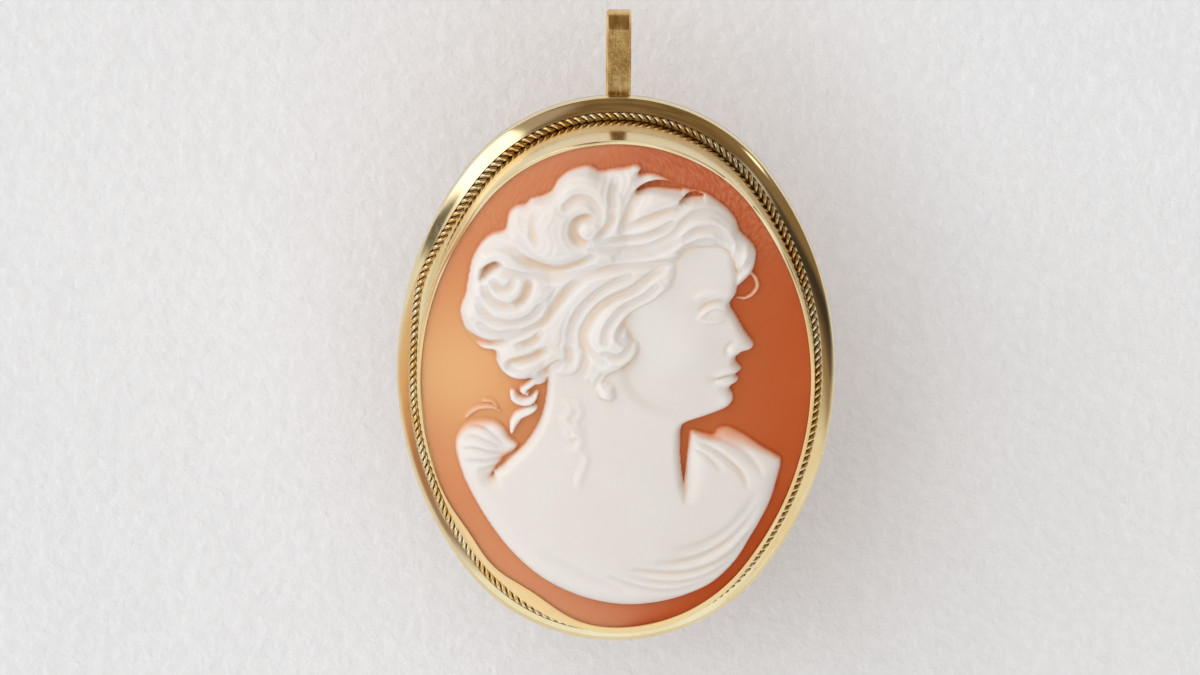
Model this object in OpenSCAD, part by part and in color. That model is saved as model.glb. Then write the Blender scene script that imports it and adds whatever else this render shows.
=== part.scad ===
// Oval shell cameo in a gold frame, hanging from a hinged bail.
// Millimetres. +Z is up, the carved face looks along -Y, and the origin is
// where a chain bears inside the top of the bail.
// The frame is drawn lying flat first: X across, Y along the oval's long axis,
// Z towards the viewer. hang() then stands it up under its hinge.

/* [Opening] */
// Half of the opening's width
half_w = 14.5; // [13:0.1:16]
// Half of the opening's height
half_h = 19.5; // [18:0.1:21]

/* [Frame] */
// Radial play between the shell and the collar
shell_play = 0.02; // [0.01:0.01:0.05]
// How far the lip reaches out from the opening, over the collar
lip_w = 0.3; // [0.25:0.01:0.45]
// Thickness of the lip
lip_t = 0.22; // [0.15:0.01:0.4]
// Thickness of the collar wall
collar_t = 0.2; // [0.15:0.01:0.25]
// Diameter of the rope wire
rope_d = 0.58; // [0.45:0.01:0.7]
// Radius of the flange's rounded slope, from the rope wire out to the rim
dome_r = 0.95; // [0.8:0.01:1.1]
// Height of the slope's crest beside the rope wire
crest_z = 0.3; // [0.2:0.05:0.4]
// Depth of the flat back below the height that the crest is measured from
frame_depth = 1.15; // [1:0.05:2]
// How far the seat ledge reaches inwards behind the shell
ledge_in = 1.1; // [0.5:0.05:2]
// Thickness of the seat ledge
ledge_t = 0.5; // [0.3:0.05:0.8]

/* [Cameo] */
// Radius of the shell's curve across the cameo
bend_r = 80; // [60:1:120]
// Height of the lip at the middle of the oval, from where the crest is measured
lip_height = 3.9; // [2.5:0.1:4.5]
// How much higher the lip stands at the top than at the middle
lean_rise = 1.9; // [0:0.1:2]
// Thickness of the orange layer
ground_t = 1.6; // [1:0.1:2.5]

/* [Bail] */
// Width of the bail's strap
strap_w = 1.85; // [1.4:0.05:2.4]
// Thickness of the strap
strap_t = 0.55; // [0.4:0.05:0.7]
// Bevel along the strap's edges
strap_bevel = 0.16; // [0.05:0.01:0.2]
// Outer radius of the strap's bend
bend_outer_r = 1.35; // [1.2:0.05:1.6]
// Height of the bail's inside top above its pin
pin_drop = 6.75; // [5.5:0.05:9]
// Outer radius of the barrel at the bail's foot
barrel_r = 1; // [0.8:0.05:1.1]
// Radius of the hinge pin
pin_r = 0.38; // [0.3:0.01:0.5]
// Running clearance of the barrel round the pin
run_play = 0.05; // [0.03:0.01:0.08]
// Thickness of one hinge lug
lug_t = 0.6; // [0.4:0.05:1]
// Outer radius of the hinge lugs
lug_r = 0.9; // [0.75:0.05:1]
// How far the frame leans forward as it hangs
hang_tilt = 11.8; // [6:0.1:14]

/* [Hidden] */
$fa = 3;
$fs = 0.2;
gold = "gold";

// The oval is four arcs that meet on lines with a slope of 3 in 4
end_c = 1.5 * (half_h - half_w);
side_c = 2 * (half_h - half_w);
end_r = half_h - end_c;
side_r = half_w + side_c;
wedge_l = 10;
ARCS = [
  // centre, radius, then the two rays that bound the arc
  [[0, end_c], end_r, [4, 3], [-4, 3]],
  [[side_c, 0], side_r, [-4, 3], [-4, -3]],
  [[0, -end_c], end_r, [-4, -3], [4, -3]],
  [[-side_c, 0], side_r, [4, -3], [4, 3]]
];

lean = atan(lean_rise / half_h);
collar_in = lip_w - collar_t;
shell_edge = collar_in - shell_play;
rope_gap = 0.02;
rope_r = rope_d / 2;
rope_w = lip_w + rope_gap + rope_r;
channel_floor = -0.04;
rope_z = channel_floor + rope_gap + rope_r;
dome_w = rope_w + rope_r + rope_gap;
rim_w = dome_w + dome_r;
above_all = 9;
ground_front = lip_t + 0.02;
ground_back = ground_front + ground_t;
ledge_front = ground_back + 0.02;
pin_back = 2.65;
pin_up = half_h + 0.4;
lug_in = strap_w / 2 + run_play;
lug_hole_r = pin_r + 0.01;
barrel_flank = barrel_r - 0.05;
lug_w = 2 * lug_r - 0.2;

// What lies between the two rays of an arc
module within_rays(arc) {
  intersection() {
    translate([arc[0].x, arc[0].y, 0])
      children();
    translate([0, 0, -20])
      linear_extrude(height = 40)
        polygon([arc[0], arc[0] + arc[2] * wedge_l, arc[0] + arc[3] * wedge_l]);
  }
}

// Sweeps a section, drawn as [distance outside the opening, height], round the oval
module round_the_oval() {
  for (arc = ARCS)
    within_rays(arc)
      rotate_extrude()
        translate([arc[1], 0])
          children();
}

module band(w_in, w_out, z_low, z_high) {
  round_the_oval()
    translate([w_in, z_low])
      square([w_out - w_in, z_high - z_low]);
}

// Solid oval out to a distance from the opening
module oval(w, z_low, z_high) {
  for (arc = ARCS)
    within_rays(arc)
      translate([0, 0, z_low])
        cylinder(r = arc[1] + w, h = z_high - z_low);
}

// Stands the leaning cameo on the frame
module cameo_place() {
  translate([0, 0, lip_height])
    rotate([lean, 0, 0])
      children();
}

// Everything deeper than a given depth under the lip's curved front
module under_curve(depth) {
  cameo_place()
    translate([0, 0, -bend_r])
      rotate([90, 0, 0])
        cylinder(r = bend_r - depth, h = 60, center = true, $fa = 0.5);
}

module curved_layer(front, back) {
  intersection() {
    children();
    difference() {
      under_curve(front);
      under_curve(back);
    }
  }
}

// Puts the flat pendant under its hinge, with the hinge under the bail
module hang() {
  translate([0, 0, -pin_drop])
    rotate([90 + hang_tilt, 0, 0])
      translate([0, -pin_up, pin_back])
        children();
}

module hinge_axis() {
  translate([0, 0, -pin_drop])
    rotate([0, 90, 0])
      children();
}

// Section of the soldered base: rope channel, rounded flange and flat back
module base_section() {
  translate([collar_in, -frame_depth])
    square([dome_w - collar_in + 0.2, frame_depth + channel_floor]);
  intersection() {
    translate([dome_w, crest_z - dome_r])
      circle(r = dome_r);
    translate([dome_w, -frame_depth])
      square([dome_r + 1, frame_depth + 1]);
  }
  translate([dome_w, -frame_depth])
    square([dome_r, frame_depth + crest_z - dome_r]);
}

module collar_and_lip() {
  difference() {
    intersection() {
      band(0, lip_w, -frame_depth, above_all);
      under_curve(0);
    }
    intersection() {
      band(-1, collar_in, -2 * frame_depth, above_all);
      under_curve(lip_t);
    }
  }
}

module hinge_lug() {
  rotate([0, 90, 0])
    cylinder(r = lug_r, h = lug_t);
  translate([0, -lug_w / 2, 0])
    cube([lug_t, lug_w, pin_back - frame_depth + 0.1]);
}

module bezel_frame() {
  color(gold)
    hang()
      difference() {
        union() {
          round_the_oval()
            base_section();
          collar_and_lip();
          curved_layer(ledge_front, ledge_front + ledge_t)
            band(-ledge_in, collar_in + collar_t / 2, -frame_depth, above_all);
          for (x = [lug_in, -lug_in - lug_t])
            translate([x, pin_up, -pin_back])
              hinge_lug();
        }
        translate([0, pin_up, -pin_back])
          rotate([0, 90, 0])
            cylinder(r = lug_hole_r, h = 2 * half_w, center = true);
      }
}

module rope_wire() {
  color(gold)
    hang()
      round_the_oval()
        translate([rope_w, rope_z])
          circle(r = rope_r);
}

module cameo_ground() {
  color("chocolate")
    hang()
      curved_layer(ground_front, ground_back)
        oval(shell_edge, -frame_depth, above_all);
}

// The bust's outline, as [height, x]: up its left side, and up its right side, which holds the face's profile
LEFT_EDGE = [
  [-17.7, 1], [-17.4, -1], [-16.8, -3], [-15.8, -5], [-14.7, -6.5], [-13.3, -7.9], [-11, -9.6], [-9, -10.7],
  [-7.2, -11.5], [-5.6, -11.9], [-4.4, -11.9], [-3.2, -11.2], [-2.75, -10.2], [-2.6, -7.9], [-2, -7.5],
  [-1.5, -6.7], [-1, -7.5], [-0.3, -7.6], [0.3, -7], [0.7, -7.6], [1.3, -8.5], [2.1, -8.9], [2.8, -9.4],
  [3.4, -10.3], [4.2, -11], [5, -11.3], [5.9, -11.6], [7, -11.2], [8.4, -11], [9.8, -10.8], [11, -10.2], [11.7, -9.9],
  [12.2, -9.1], [12.5, -8.3], [13.7, -8], [14.3, -7.5], [15, -6.4], [15.3, -5.4], [16, -4.7], [16.8, -4.2],
  [17.4, -3.3], [17.75, -2.2]
];
face_third = 4.65;
chin_y = -1.95;
// The face's profile, as [thirds of the face above the chin, x]
PROFILE = [
  [0, 7.4], [0.1, 8.35], [0.26, 8.75], [0.44, 8.45], [0.56, 9.1], [0.66, 8.85], [0.75, 9.3], [0.88, 8.85],
  [0.99, 8.95], [1.08, 9.9], [1.17, 10.15], [1.4, 9.45], [1.65, 8.85], [1.87, 8.35], [2.05, 8.8], [2.3, 8.9],
  [2.4, 8.85]
];
RIGHT_EDGE = concat(
  [
    [-17.7, 1.2], [-17.5, 3], [-17.1, 5], [-16.1, 7], [-15, 8.5], [-13, 9.8], [-11.5, 10.5], [-9.8, 11.3],
    [-7.5, 12], [-5.9, 12.4], [-4.9, 11], [-3.9, 9.7], [-3.1, 8.4], [-2.95, 5], [-2.5, 5.4]
  ],
  [for (p = PROFILE) [chin_y + p[0] * face_third, p[1]]],
  [
    [9.8, 10], [10.1, 10.2], [10.8, 10.2], [11.4, 10], [12, 9.6], [12.6, 8.9], [13.2, 8.7], [13.9, 8.2],
    [14.6, 7.6], [15.3, 6.9], [15.7, 6.1], [16, 4.6], [16.5, 3.7], [17.1, 2.9], [17.3, 1.7], [17.75, 1.4]
  ]
);
// Where the hair ends against the neck, cheek and brow, as [height, x]
HAIRLINE = [
  [-0.8, -1], [0, 0.3], [1, 0.2], [1.7, 0.8], [2.3, 1.5], [3.2, 1.9], [4.2, 1.75], [5.3, 1], [6.4, 1.9],
  [7.1, 3], [8.2, 4.2], [9.6, 4.6], [11, 4.9], [11.4, 6.3], [11.6, 12]
];

// Rounded masses of the hair, as [x, y, half width, half height, turn, height]
MASSES = [
  [-0.6, 8.2, 9.6, 9.4, 0, 1.25],
  [-3, 13.2, 4.4, 4.4, 0, 1.75],
  [-8, 7.8, 3.9, 4.6, 0, 1.6],
  [4.2, 13.1, 5, 2.9, -12, 1.7],
  [9.3, 11, 1.15, 2, 12, 1.3],
  [-0.2, 4.4, 2.6, 3.2, 0, 1.75],
  [-7.2, 2.2, 2.1, 1.8, 10, 1.35],
  [-0.7, 0.1, 1.05, 1, 0, 1.5]
];
// Valleys between the locks of hair, as [depth, half width, points along the valley]
VALLEYS = [
  [1.1, 0.4, [[-1.8, 13.9], [-2.6, 14], [-3.1, 13.4], [-3.1, 12.8], [-2.7, 12.3]]],
  [0.25, 0.5, [[-4.2, 14.3], [-3.4, 15.1], [-2.5, 15.3], [-1.8, 14.9], [-1.3, 14.2]]],
  [0.5, 0.45, [[-7.3, 10.7], [-6.3, 10.2], [-5.2, 10]]],
  [0.9, 0.42, [[-5.2, 10], [-3.6, 10], [-2.8, 10.2], [-1.8, 10.9]]],
  [0.4, 0.4, [[-5.8, 14.5], [-6.1, 13.2], [-5.9, 12]]],
  [0.4, 0.4, [[-6.7, 14.8], [-7.1, 13.6], [-7.3, 12.4]]],
  [0.5, 0.4, [[-0.5, 14.4], [-0.8, 13.7], [-1.3, 13], [-1.5, 12.3]]],
  [0.35, 0.4, [[-1.4, 12.1], [0, 12.1], [1.5, 12.4], [2.9, 13], [4, 13.4]]],
  [0.45, 0.4, [[0.1, 13.1], [1.2, 13.6], [2.4, 14.1], [3.8, 14.7], [4.8, 15]]],
  [0.4, 0.4, [[0.6, 13.6], [0.7, 15], [1, 16], [1.4, 16.9]]],
  [0.35, 0.4, [[4.6, 11.5], [5.6, 11.9], [6.6, 12.2], [7.6, 11.9], [8.3, 11.2]]],
  [0.3, 0.4, [[5.3, 12.9], [6.3, 13.3], [7.4, 13], [8.3, 12.1]]],
  [0.7, 0.42, [[3.3, 10], [2.6, 9.5], [1.9, 8.9], [1.2, 8.3], [0.1, 7.8], [-1, 7.1]]],
  [0.6, 0.42, [[-1, 7.1], [-1.9, 6], [-2.4, 4.8], [-2.2, 3.8], [-1.6, 3.1], [-0.9, 2.6]]],
  [0.25, 0.4, [[4.2, 10.6], [2.8, 10.4], [1, 10.4], [-0.8, 10.2], [-2.2, 9.6], [-3.2, 8.6]]],
  [0.5, 0.4, [[-2.6, 9], [-3.4, 8.3], [-4.1, 7.4], [-4.7, 6.6], [-5.2, 5.8], [-6.2, 5.1], [-8.1, 4]]],
  [0.9, 0.4, [[-8.1, 4], [-9.2, 3.6], [-10.4, 3.7], [-11.2, 4.3]]],
  [0.3, 0.4, [[1, 9.4], [-0.3, 8.8], [-1.3, 8.1], [-2.2, 7.2], [-2.9, 6.2], [-3.3, 5], [-3.3, 4.2]]],
  [0.5, 0.4, [[3.6, 7.9], [2.8, 7.1], [1.8, 6.6], [0.9, 6], [0.4, 5.3], [0.7, 4.4]]],
  [0.6, 0.4, [[1.7, 3.2], [1.3, 2.5], [0.5, 1.9], [-0.2, 1.5], [-0.7, 0.8]]],
  [0.9, 0.4, [[-5.2, 3.4], [-6.1, 2.8], [-7.1, 2.5], [-7.8, 2.2], [-7.2, 1.5]]],
  [0.8, 0.4, [[-4.1, 2.4], [-4.8, 1.8], [-5.5, 1.4]]],
  [0.4, 0.4, [[-2.2, 3], [-2.3, 2], [-2.8, 1.3], [-3.6, 1]]],
  [1.2, 0.42, [[-9.9, 9], [-9.5, 9.6], [-8.9, 9.9], [-8.5, 9.8]]],
  [0.35, 0.4, [[-8.5, 9.8], [-7.7, 9.5], [-6.5, 9.2], [-5.2, 9.1], [-3.8, 9.4]]],
  [0.9, 0.4, [[-6.3, 9], [-6.6, 8.1], [-7, 7.4], [-7.6, 7]]],
  [0.35, 0.4, [[-7.6, 7], [-8.5, 7], [-9.3, 7.4], [-9.7, 8.2]]],
  [0.35, 0.4, [[-10.2, 7.2], [-9.8, 6.4], [-9.1, 5.8], [-8.2, 5.5], [-7.2, 5.6], [-6.2, 6.1], [-5.6, 6.9]]],
  [1.2, 0.45, [[1.5, 15.6], [2.2, 16.3], [3.4, 16.4], [4.3, 16.7]]],
  [1, 0.3, [[4.9, 15.1], [5.6, 15.3], [6.1, 15.2]]]
];
// Folds, slits and the gaps beside the neck, in the same columns
FOLDS = [
  [1.3, 0.3, [[5, -2.6], [5, -4.2], [5, -5.6], [5.1, -7]]],
  [0.5, 0.3, [[5.7, -4], [6.6, -4.3], [7.6, -4.9], [8.6, -5.7], [9.4, -6.6]]],
  [0.6, 0.3, [[7.2, -3.5], [8, -3.8], [8.8, -4.2]]],
  [0.35, 0.6, [[10.2, -9.2], [9.4, -10.9], [8.2, -12.1], [6.8, -13], [5.4, -13.6]]],
  [0.25, 0.6, [[9.4, -12.6], [8, -13.9], [6.4, -14.7], [4.6, -14.9]]],
  [0.2, 0.5, [[-0.4, -14.6], [1, -15.1], [2.6, -15.9], [4.4, -16.2]]],
  [1.3, 0.75, [[-5.9, -1.2], [-6.5, -2.8], [-7.6, -3.8]]],
  [1.1, 0.4, [[-7.2, -4.6], [-8.3, -6.1], [-9, -7]]]
];
// Soft forms of the face and body, as [height, x, y, half width, half height, turn]
FORMS = [
  [0.35, 4.8, 3.6, 4.5, 5.2, 0],
  [0.25, 0, -5, 5, 4, 0],
  [0.45, 1, -11, 9, 6, 0],
  [0.15, 7.6, 7.75, 1.5, 0.45, 8],
  [-0.3, 7.2, 6.45, 1.15, 0.7, 0],
  [0.3, 7.25, 6.3, 0.72, 0.5, 0],
  [0.22, 8.75, 3.35, 0.55, 0.45, 0],
  [0.16, 5.6, 3.6, 1.9, 1.6, 0],
  [0.14, 8.1, -0.9, 0.8, 0.7, 0],
  [0.14, 8.5, 1.6, 0.9, 0.3, 10],
  [0.14, 8.4, 0.6, 0.8, 0.3, -5],
  [-0.25, 8.2, 1.15, 1, 0.22, 5]
];
// The jaw's lower edge, from the chin back to under the ear
JAW = [[8.4, -2.3], [7, -2.2], [5.4, -2.1], [3.6, -1.7], [2, -0.9], [0.9, 0.3], [0.5, 1.6]];

figure_up = 0.13;
figure_low = -17.6;
figure_high = 17.7;
ROWS = 76;
COLUMNS = 54;
base_step = 9;
base_gap = 0.04;
skin_level = 0.95;
hair_edge_r = 0.95;
skin_edge_r = 0.8;
least_relief = 0.12;
jaw_step = 0.38;

// How much longer the way across an edge is when measured along x
function slope_factor(edge, y) = sqrt(1 + ((lookup(y + 0.3, edge) - lookup(y - 0.3, edge)) / 0.6) ^ 2);

function round_edge(d, r) = let (u = max(0, min(1, d / r))) sqrt(u * (2 - u));

// Squared distance from a turned ellipse's centre, in its own half widths
function ellipse_share(p, x, y, rx, ry, turn) =
  let (
    dx = p.x - x,
    dy = p.y - y,
    u = (dx * cos(turn) + dy * sin(turn)) / rx,
    v = (dy * cos(turn) - dx * sin(turn)) / ry
  )
    u * u + v * v;

function segment_distance(p, a, b) =
  let (ab = b - a, t = max(0, min(1, (p - a) * ab / (ab * ab))))
    norm(p - a - t * ab);

function path_distance(p, path) =
  min([for (k = [1:len(path) - 1]) segment_distance(p, path[k - 1], path[k])]);

// The boxes outside which a cut does nothing
function reach_box(cut) =
  let (xs = [for (q = cut[2]) q.x], ys = [for (q = cut[2]) q.y], far = 2.2 * cut[1])
    [min(xs) - far, max(xs) + far, min(ys) - far, max(ys) + far];
VALLEY_BOXES = [for (cut = VALLEYS) reach_box(cut)];
FOLD_BOXES = [for (cut = FOLDS) reach_box(cut)];

function sum(list) = list * [for (item = list) 1];

function cut_depth(p, cuts, boxes) =
  let (near = [for (k = [0:len(cuts) - 1])
    let (box = boxes[k])
      if (p.x > box[0] && p.x < box[1] && p.y > box[2] && p.y < box[3])
        cuts[k][0] * exp(-(path_distance(p, cuts[k][2]) / cuts[k][1]) ^ 2)])
    len(near) == 0 ? 0 : sum(near);

function hair_relief(p, inside) =
  let (
    domes = [for (m = MASSES)
      let (q = ellipse_share(p, m[0], m[1], m[2], m[3], m[4]))
        q < 1 ? 0.55 + (m[5] - 0.35) * (1 - q) ^ 0.35 : 0],
    edge = min(inside, lookup(p.y, HAIRLINE) - p.x)
  )
    max(concat([skin_level], domes)) * round_edge(edge, hair_edge_r) - cut_depth(p, VALLEYS, VALLEY_BOXES);

function skin_relief(p, inside) =
  let (
    forms = [for (f = FORMS) f[0] * exp(-ellipse_share(p, f[1], f[2], f[3], f[4], f[5]))],
    under_jaw = p.y < 1.6 && p.y > -6 && p.y < lookup(p.x, [for (k = [len(JAW) - 1:-1:0]) JAW[k]]) ? 1 : 0,
    throat = jaw_step * under_jaw * exp(-path_distance(p, JAW) / 2.6)
  )
    (skin_level + sum(forms) - throat) * round_edge(inside, p.y < -3 ? 2 * skin_edge_r : skin_edge_r)
      - cut_depth(p, FOLDS, FOLD_BOXES);

function relief(p, inside) =
  max(
    least_relief,
    skin_relief(p, inside),
    p.y > -0.8 && p.x < lookup(p.y, HAIRLINE) ? hair_relief(p, inside) : 0
  );

// Front of the orange layer across the cameo
function ground_curve(x) = sqrt((bend_r - ground_front) ^ 2 - x ^ 2) - bend_r;

function row_y(i) = figure_low + (figure_high - figure_low) * i / ROWS;
function column_x(i, j) =
  let (y = row_y(i), from = lookup(y, LEFT_EDGE))
    from + (lookup(y, RIGHT_EDGE) - from) * j / COLUMNS;
function top_index(i, j) = i * (COLUMNS + 1) + j;
top_count = (ROWS + 1) * (COLUMNS + 1);
base_columns = COLUMNS / base_step;
function base_index(i, k) = top_count + i * (base_columns + 1) + k;

module figure_solid() {
  top = [for (i = [0:ROWS])
    let (
      y = row_y(i), left = lookup(y, LEFT_EDGE), right = lookup(y, RIGHT_EDGE),
      left_slope = slope_factor(LEFT_EDGE, y), right_slope = slope_factor(RIGHT_EDGE, y)
    )
      for (j = [0:COLUMNS])
        let (
          x = left + (right - left) * j / COLUMNS,
          inside = min((x - left) / left_slope, (right - x) / right_slope)
        )
          [x, y, ground_curve(x) + relief([x, y], inside)]];
  base = [for (i = [0:ROWS], k = [0:base_columns])
    let (x = column_x(i, k * base_step))
      [x, row_y(i), ground_curve(x) + base_gap]];
  top_faces = [for (i = [0:ROWS - 1], j = [0:COLUMNS - 1]) each [
    [top_index(i, j), top_index(i + 1, j), top_index(i + 1, j + 1)],
    [top_index(i, j), top_index(i + 1, j + 1), top_index(i, j + 1)]
  ]];
  base_faces = [for (i = [0:ROWS - 1], k = [0:base_columns - 1]) each [
    [base_index(i, k), base_index(i + 1, k + 1), base_index(i + 1, k)],
    [base_index(i, k), base_index(i, k + 1), base_index(i + 1, k + 1)]
  ]];
  side_faces = [for (i = [0:ROWS - 1]) each [
    [top_index(i, 0), base_index(i, 0), base_index(i + 1, 0)],
    [top_index(i, 0), base_index(i + 1, 0), top_index(i + 1, 0)],
    [top_index(i, COLUMNS), base_index(i + 1, base_columns), base_index(i, base_columns)],
    [top_index(i, COLUMNS), top_index(i + 1, COLUMNS), base_index(i + 1, base_columns)]
  ]];
  end_faces = [for (k = [0:base_columns - 1]) each concat(
    [for (j = [k * base_step:(k + 1) * base_step - 1]) each [
      [top_index(0, j), top_index(0, j + 1), base_index(0, k)],
      [top_index(ROWS, j + 1), top_index(ROWS, j), base_index(ROWS, k)]
    ]],
    [
      [top_index(0, (k + 1) * base_step), base_index(0, k + 1), base_index(0, k)],
      [base_index(ROWS, k + 1), top_index(ROWS, (k + 1) * base_step), base_index(ROWS, k)]
    ]
  )];
  polyhedron(concat(top, base), concat(top_faces, base_faces, side_faces, end_faces));
}

module cameo_figure() {
  color("linen")
    hang()
      cameo_place()
        translate([0, figure_up, 0])
          figure_solid();
}

module hinge_pin() {
  color(gold)
    hinge_axis()
      cylinder(r = pin_r, h = 2 * (lug_in + lug_t), center = true);
}

// Section of the strap, drawn as [distance from the bend's centre, across]
module strap_section() {
  flat_w = strap_w / 2 - strap_bevel;
  polygon([
    [bend_outer_r - strap_t, -strap_w / 2],
    [bend_outer_r - strap_bevel, -strap_w / 2],
    [bend_outer_r, -flat_w],
    [bend_outer_r, flat_w],
    [bend_outer_r - strap_bevel, strap_w / 2],
    [bend_outer_r - strap_t, strap_w / 2]
  ]);
}

module bail() {
  bend_z = strap_t - bend_outer_r;
  leg_l = pin_drop + bend_z;
  taper = asin((bend_outer_r - barrel_flank) / leg_l);
  color(gold)
    difference() {
      union() {
        translate([0, 0, bend_z])
          rotate([90, 0, 90])
            rotate([0, 0, -taper])
              rotate_extrude(angle = 180 + 2 * taper)
                strap_section();
        for (side = [0, 1])
          translate([0, 0, bend_z])
            mirror([0, side, 0])
              rotate([taper, 0, 0])
                rotate([0, 180, 90])
                  linear_extrude(height = leg_l * cos(taper))
                    strap_section();
        hinge_axis()
          cylinder(r = barrel_r, h = strap_w, center = true);
      }
      hinge_axis()
        cylinder(r = pin_r + run_play, h = 2 * strap_w, center = true);
    }
}

bezel_frame();
rope_wire();
cameo_ground();
cameo_figure();
hinge_pin();
bail();
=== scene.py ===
from math import atan2, cos, pi, radians, sin

import bpy
import numpy as np
from mathutils import Matrix, Vector


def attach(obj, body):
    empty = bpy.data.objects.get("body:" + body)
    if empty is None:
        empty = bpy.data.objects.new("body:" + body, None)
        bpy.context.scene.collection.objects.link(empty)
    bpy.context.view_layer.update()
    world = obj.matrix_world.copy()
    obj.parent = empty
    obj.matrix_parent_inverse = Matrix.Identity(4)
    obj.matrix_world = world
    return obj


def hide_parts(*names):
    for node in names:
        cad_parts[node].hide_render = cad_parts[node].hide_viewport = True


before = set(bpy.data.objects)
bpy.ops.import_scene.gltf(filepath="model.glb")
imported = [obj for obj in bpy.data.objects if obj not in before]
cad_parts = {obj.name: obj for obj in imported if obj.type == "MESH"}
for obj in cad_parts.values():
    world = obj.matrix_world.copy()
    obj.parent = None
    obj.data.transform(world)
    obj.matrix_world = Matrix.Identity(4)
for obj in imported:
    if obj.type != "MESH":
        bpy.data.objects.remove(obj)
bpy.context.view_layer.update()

# The frame: one soldered piece of 18 carat gold with an upright collar, a thin
# lip folded in by hand over the shell, so not quite even, a rounded flange and
# two hinge lugs at the back. It is polished, with faint handling marks.
MM = 0.001


class Sock:
    """A shader socket that takes part in Python arithmetic."""

    def __init__(self, shader, out):
        self.shader, self.out = shader, out

    def math(self, kind, *others):
        values = {k: v for k, v in enumerate((self, *others))}
        return self.shader.node("ShaderNodeMath", {"operation": kind}, values)

    def __add__(self, other):
        return self.math("ADD", other)

    def __mul__(self, other):
        return self.math("MULTIPLY", other)

    def __sub__(self, other):
        return self.math("SUBTRACT", other)

    def __rsub__(self, other):
        return (self * -1.0) + other

    __radd__, __rmul__ = __add__, __mul__

    def fade(self, low, high):
        """0 at low and 1 at high, with soft ends."""
        values = {"Value": self, "From Min": low, "From Max": high}
        return self.shader.node("ShaderNodeMapRange", {"interpolation_type": "SMOOTHSTEP"}, values)


class Shader:
    """One material or world, with a method that adds any node from its type, settings and values."""

    def __init__(self, name, group=bpy.data.materials, output="ShaderNodeOutputMaterial"):
        self.material = group.new(name)
        self.material.use_nodes = True
        self.tree = self.material.node_tree
        self.tree.nodes.clear()
        self.output = self.tree.nodes.new(output)

    def feed(self, node, key, value):
        if isinstance(value, Sock):
            self.tree.links.new(value.out, node.inputs[key])
        else:
            node.inputs[key].default_value = value

    def node(self, kind, settings=None, values=None, out=0):
        made = self.tree.nodes.new(kind)
        for key, value in (settings or {}).items():
            setattr(made, key, value)
        for key, value in (values or {}).items():
            self.feed(made, key, value)
        return Sock(self, made.outputs[out])

    def mix(self, share, a, b):
        """Colour a where share is 0 and colour b where it is 1."""
        first, second = (c if isinstance(c, Sock) else (*c, 1.0) for c in (a, b))
        return self.node("ShaderNodeMix", {"data_type": "RGBA"}, {0: share, 6: first, 7: second}, out=2)

    def place(self):
        return self.node("ShaderNodeTexCoord", out="Object")

    def noise(self, scale, detail=3.0, rough=0.5, stretch=(1.0, 1.0, 1.0)):
        where = self.node("ShaderNodeMapping", None, {"Vector": self.place(), "Scale": stretch})
        values = {"Vector": where, "Scale": scale, "Detail": detail, "Roughness": rough}
        return self.node("ShaderNodeTexNoise", None, values)

    def attribute(self, name):
        return self.node("ShaderNodeAttribute", {"attribute_name": name}, out="Fac")

    def bump(self, height, strength, distance):
        values = {"Height": height, "Strength": strength, "Distance": distance}
        return self.node("ShaderNodeBump", None, values)

    def surface(self, **values):
        names = {key.replace("_", " "): value for key, value in values.items()}
        body = self.node("ShaderNodeBsdfPrincipled", None, names)
        self.tree.links.new(body.out, self.output.inputs["Surface"])
        return self.material


GOLD = (0.89, 0.72, 0.41)
PALE_GOLD = (0.94, 0.83, 0.58)
OLD_GOLD = (0.30, 0.18, 0.06)
DULL_AND_REFLECTION_GOLD = (0.89, 0.61, 0.27)
# the collar's duller band, its browner colour partly a painted reflection of the rope and bail, starts
# above the rope's mirror image: metres forward where it starts, is full, begins to fade and ends
BAND_START, BAND_FULL, BAND_FADE, BAND_END = 0.0055, 0.0061, 0.0067, 0.0079
HANG_TILT = radians(11.8)


def gold_material(name, colour, roughness, wear, dull_and_reflection=0.0, dents=0.06):
    """Polished gold: soft shifts of tone, fine wiping marks, and a duller band on the collar whose browner
    colour is partly a painted reflection.
    """
    metal = Shader(name)
    tone = metal.noise(260.0, 4.0, 0.55)
    marks = metal.noise(2600.0, 5.0, 0.65, (1.0, 1.0, 0.22)).fade(0.56, 0.74)
    base = metal.mix(tone.fade(0.35, 0.7) * 0.5, colour, PALE_GOLD)
    base = metal.mix(marks * wear, base, OLD_GOLD)
    y, z = (metal.node("ShaderNodeSeparateXYZ", None, {"Vector": metal.place()}, out=k) for k in (1, 2))
    forward = y * -cos(HANG_TILT) + z * -sin(HANG_TILT)
    wall = forward.fade(BAND_START, BAND_FULL)
    band = wall * forward.fade(BAND_END, BAND_FADE)
    # the band's browner colour and lower metal: partly real dull polish, partly a painted reflection of the
    # rope and bail
    base = metal.mix(band * (0.8 * dull_and_reflection), base, DULL_AND_REFLECTION_GOLD)
    shine = roughness + marks * (0.25 * wear) + tone * 0.05 + band * (0.12 * dull_and_reflection) + wall * (0.09 * dull_and_reflection)
    wave = metal.noise(420.0, 2.0, 0.4) + marks * (0.15 * wear)
    normal = metal.bump(wave, dents, 0.00008)
    metallic = 1.0 - band * (0.65 * dull_and_reflection)
    return metal.surface(Base_Color=base, Metallic=metallic, Roughness=shine, Normal=normal)


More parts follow.
